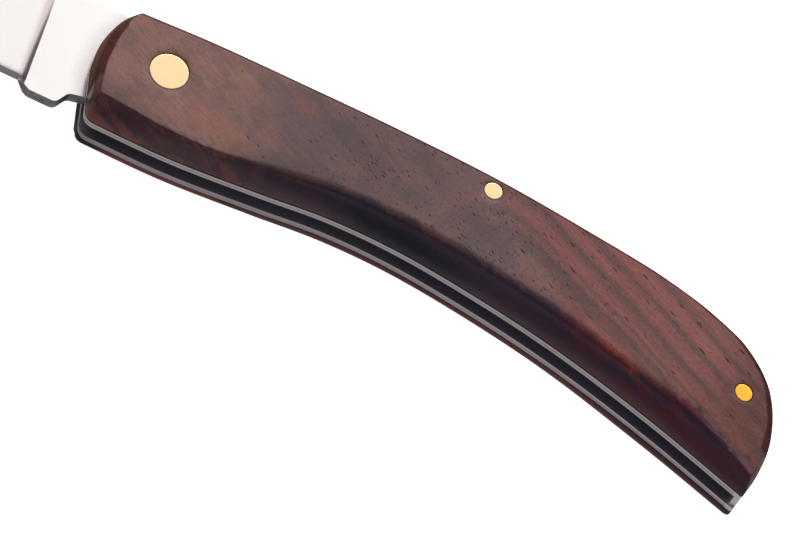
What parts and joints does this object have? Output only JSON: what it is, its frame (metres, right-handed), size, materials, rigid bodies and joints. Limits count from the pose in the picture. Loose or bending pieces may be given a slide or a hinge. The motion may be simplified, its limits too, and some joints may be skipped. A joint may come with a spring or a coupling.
{
  "type": "folding pocket knife",
  "caption": "Slip-joint folding pocket knife with a curved wooden handle on steel liners, brass rivets and a drop-point blade that folds into the slot.",
  "frame": {"origin": "on the blade pivot's axis, at the lower flat face of the handle, where the rivet's head is flush with the wood", "axes": "+Z along the pivot's axis, up out of the upper wooden face; +X from the pivot towards the butt, so the open blade points along -X; +Y towards the handle's back, so the slot's mouth faces -Y"},
  "size_m": [0.1914, 0.0272, 0.0143],
  "materials": {
    "wood": "polished, oiled dark reddish hardwood with short open pores",
    "liner_steel": "lengthwise ground edges",
    "spring_steel": "lengthwise ground edges",
    "blade_steel": "polished",
    "brass": "peened and ground flush",
    "bronze": "plain"
  },
  "bodies": {
    "handle": {"near_scale": "wood", "far_scale": "wood", "near_liner": "liner_steel", "far_liner": "liner_steel", "back_spring": "spring_steel", "pivot_rivet": "brass", "middle_pin": "brass", "butt_pin": "brass", "near_washer": "bronze", "far_washer": "bronze"},
    "blade": {"blade": "blade_steel"}
  },
  "joints": [
    {"name": "blade_fold", "type": "hinge", "parent": "handle", "child": "blade", "pos_m": [0, 0, 0.00715], "axis": [0, 0, 1], "range_deg": [0, 172], "deforming": ["back_spring"]}
  ]
}
